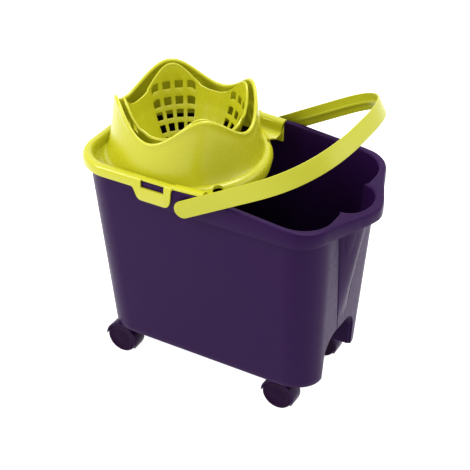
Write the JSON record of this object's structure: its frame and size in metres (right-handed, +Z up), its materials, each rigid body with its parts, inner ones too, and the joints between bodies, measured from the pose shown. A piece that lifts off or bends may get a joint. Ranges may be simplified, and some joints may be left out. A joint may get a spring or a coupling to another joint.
{
  "type": "mop bucket with wringer",
  "caption": "Rectangular plastic mop bucket on swivel casters, with a pouring spout, a bail handle and a lift-off basket wringer over one half",
  "frame": {"origin": "on the floor under the centre of the bounding box, with the handle in its rest pose", "axes": "+X from the wringer to the pouring spout, +Z up, +Y to the left when facing the spout"},
  "size_m": [0.3885, 0.247, 0.4182],
  "materials": {
    "bucket_plastic": "satin",
    "wringer_plastic": "satin",
    "handle_plastic": "satin",
    "caster_hood_plastic": "satin",
    "wheel_plastic": "matt",
    "socket_plastic": "matt",
    "caster_steel": "zinc plated"
  },
  "bodies": {
    "bucket": {"bucket_tub": "bucket_plastic", "caster_spout_right_socket": "socket_plastic", "caster_spout_left_socket": "socket_plastic", "caster_wringer_right_socket": "socket_plastic", "caster_wringer_left_socket": "socket_plastic"},
    "wringer": {"wringer_housing": "wringer_plastic", "wringer_basket": "wringer_plastic"},
    "handle": {"bail_handle": "handle_plastic"},
    "caster_spout_right_swivel": {"caster_spout_right_hood": "caster_hood_plastic", "caster_spout_right_stem": "caster_steel", "caster_spout_right_grip_ring": "caster_steel", "caster_spout_right_axle": "caster_steel"},
    "caster_spout_right_wheel_right": {"caster_spout_right_wheel_right": "wheel_plastic"},
    "caster_spout_right_wheel_left": {"caster_spout_right_wheel_left": "wheel_plastic"},
    "caster_spout_left_swivel": {"caster_spout_left_hood": "caster_hood_plastic", "caster_spout_left_stem": "caster_steel", "caster_spout_left_grip_ring": "caster_steel", "caster_spout_left_axle": "caster_steel"},
    "caster_spout_left_wheel_right": {"caster_spout_left_wheel_right": "wheel_plastic"},
    "caster_spout_left_wheel_left": {"caster_spout_left_wheel_left": "wheel_plastic"},
    "caster_wringer_right_swivel": {"caster_wringer_right_hood": "caster_hood_plastic", "caster_wringer_right_stem": "caster_steel", "caster_wringer_right_grip_ring": "caster_steel", "caster_wringer_right_axle": "caster_steel"},
    "caster_wringer_right_wheel_right": {"caster_wringer_right_wheel_right": "wheel_plastic"},
    "caster_wringer_right_wheel_left": {"caster_wringer_right_wheel_left": "wheel_plastic"},
    "caster_wringer_left_swivel": {"caster_wringer_left_hood": "caster_hood_plastic", "caster_wringer_left_stem": "caster_steel", "caster_wringer_left_grip_ring": "caster_steel", "caster_wringer_left_axle": "caster_steel"},
    "caster_wringer_left_wheel_right": {"caster_wringer_left_wheel_right": "wheel_plastic"},
    "caster_wringer_left_wheel_left": {"caster_wringer_left_wheel_left": "wheel_plastic"}
  },
  "joints": [
    {"name": "wringer_lift", "type": "slide", "parent": "bucket", "child": "wringer", "axis": [0, 0, 1], "range_m": [0, 0.085]},
    {"name": "handle_swing", "type": "hinge", "parent": "bucket", "child": "handle", "pos_m": [-0.0175, 0, 0.3041], "axis": [0, -1, 0], "range_deg": [-24, 65]},
    {"name": "caster_spout_right_turn", "type": "hinge", "parent": "bucket", "child": "caster_spout_right_swivel", "pos_m": [0.1033, -0.065, 0.047], "axis": [0, 0, 1], "continuous": true},
    {"name": "caster_spout_right_wheel_right_roll", "type": "hinge", "parent": "caster_spout_right_swivel", "child": "caster_spout_right_wheel_right", "pos_m": [0.0963, -0.0732, 0.022], "axis": [0, 1, 0], "continuous": true},
    {"name": "caster_spout_right_wheel_left_roll", "type": "hinge", "parent": "caster_spout_right_swivel", "child": "caster_spout_right_wheel_left", "pos_m": [0.0963, -0.0568, 0.022], "axis": [0, 1, 0], "continuous": true},
    {"name": "caster_spout_left_turn", "type": "hinge", "parent": "bucket", "child": "caster_spout_left_swivel", "pos_m": [0.1033, 0.065, 0.047], "axis": [0, 0, 1], "continuous": true},
    {"name": "caster_spout_left_wheel_right_roll", "type": "hinge", "parent": "caster_spout_left_swivel", "child": "caster_spout_left_wheel_right", "pos_m": [0.0963, 0.0568, 0.022], "axis": [0, 1, 0], "continuous": true},
    {"name": "caster_spout_left_wheel_left_roll", "type": "hinge", "parent": "caster_spout_left_swivel", "child": "caster_spout_left_wheel_left", "pos_m": [0.0963, 0.0732, 0.022], "axis": [0, 1, 0], "continuous": true},
    {"name": "caster_wringer_right_turn", "type": "hinge", "parent": "bucket", "child": "caster_wringer_right_swivel", "pos_m": [-0.1447, -0.065, 0.047], "axis": [0, 0, 1], "continuous": true},
    {"name": "caster_wringer_right_wheel_right_roll", "type": "hinge", "parent": "caster_wringer_right_swivel", "child": "caster_wringer_right_wheel_right", "pos_m": [-0.1517, -0.0732, 0.022], "axis": [0, 1, 0], "continuous": true},
    {"name": "caster_wringer_right_wheel_left_roll", "type": "hinge", "parent": "caster_wringer_right_swivel", "child": "caster_wringer_right_wheel_left", "pos_m": [-0.1517, -0.0568, 0.022], "axis": [0, 1, 0], "continuous": true},
    {"name": "caster_wringer_left_turn", "type": "hinge", "parent": "bucket", "child": "caster_wringer_left_swivel", "pos_m": [-0.1447, 0.065, 0.047], "axis": [0, 0, 1], "continuous": true},
    {"name": "caster_wringer_left_wheel_right_roll", "type": "hinge", "parent": "caster_wringer_left_swivel", "child": "caster_wringer_left_wheel_right", "pos_m": [-0.1517, 0.0568, 0.022], "axis": [0, 1, 0], "continuous": true},
    {"name": "caster_wringer_left_wheel_left_roll", "type": "hinge", "parent": "caster_wringer_left_swivel", "child": "caster_wringer_left_wheel_left", "pos_m": [-0.1517, 0.0732, 0.022], "axis": [0, 1, 0], "continuous": true}
  ]
}
